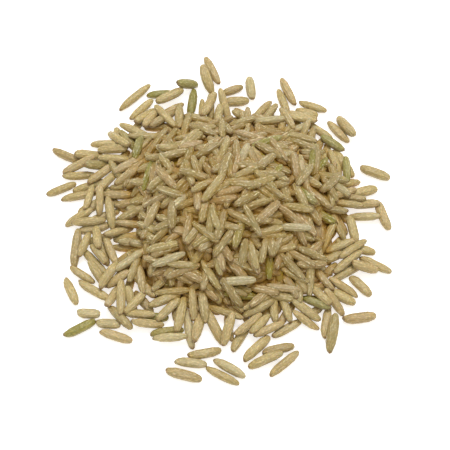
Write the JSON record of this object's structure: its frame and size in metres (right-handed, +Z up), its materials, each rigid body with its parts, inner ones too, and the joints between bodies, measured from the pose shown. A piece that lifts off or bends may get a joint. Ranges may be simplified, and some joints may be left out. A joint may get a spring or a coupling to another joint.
{
  "type": "heap of brown rice",
  "caption": "Loose heap of raw long-grain brown rice lying on a flat surface, with grains scattered round its edge.",
  "frame": {"origin": "on the floor under the middle of the whole spread, scattered grains included", "axes": "+Z up, -Y towards the viewer, +X to the viewer's right"},
  "size_m": [0.0732, 0.0781, 0.0127],
  "materials": {
    "straw_rice": "waxy straw-coloured bran with fine lengthwise streaks",
    "green_rice": "waxy yellow-green bran of an unripe kernel",
    "ruddy_rice": "waxy reddish-brown bran with fine lengthwise streaks",
    "chalky_rice": "pale chalky kernel with a waxy bran"
  },
  "bodies": {
    "root": {"rice_heap": "straw_rice", "stray_01": "straw_rice", "stray_02": "straw_rice", "stray_03": "green_rice", "stray_04": "straw_rice", "stray_05": "ruddy_rice", "stray_06": "chalky_rice", "stray_07": "straw_rice", "stray_08": "straw_rice", "stray_09": "straw_rice", "stray_10": "straw_rice", "stray_11": "straw_rice", "stray_12": "chalky_rice", "stray_13": "green_rice", "stray_14": "ruddy_rice", "stray_15": "straw_rice", "stray_16": "straw_rice", "stray_17": "ruddy_rice", "stray_18": "straw_rice", "stray_19": "straw_rice", "stray_20": "straw_rice", "stray_21": "straw_rice"}
  },
  "joints": []
}
